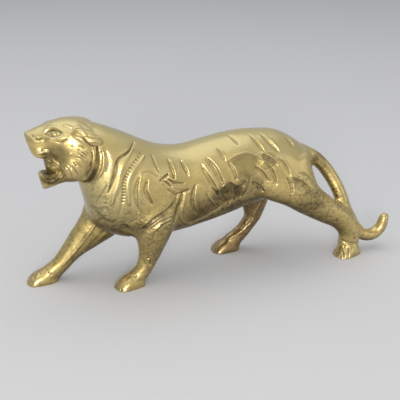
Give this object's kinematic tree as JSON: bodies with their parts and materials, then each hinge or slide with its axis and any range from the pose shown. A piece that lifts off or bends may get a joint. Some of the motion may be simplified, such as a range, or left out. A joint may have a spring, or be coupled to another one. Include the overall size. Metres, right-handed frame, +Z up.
{
  "type": "tiger figurine",
  "caption": "Solid cast metal figurine of a striding tiger with an open mouth, carved stripes and a tail that curls up behind a hind leg.",
  "frame": {"origin": "centre of the bounding box on the plane that the soles rest on", "axes": "+Z up, -X the way the tiger faces, -Y its left flank"},
  "size_m": [0.238, 0.0478, 0.106],
  "materials": {
    "brass": "aged polished cast brass with dark patina in the carving"
  },
  "bodies": {
    "root": {"tiger": "brass"}
  },
  "joints": []
}
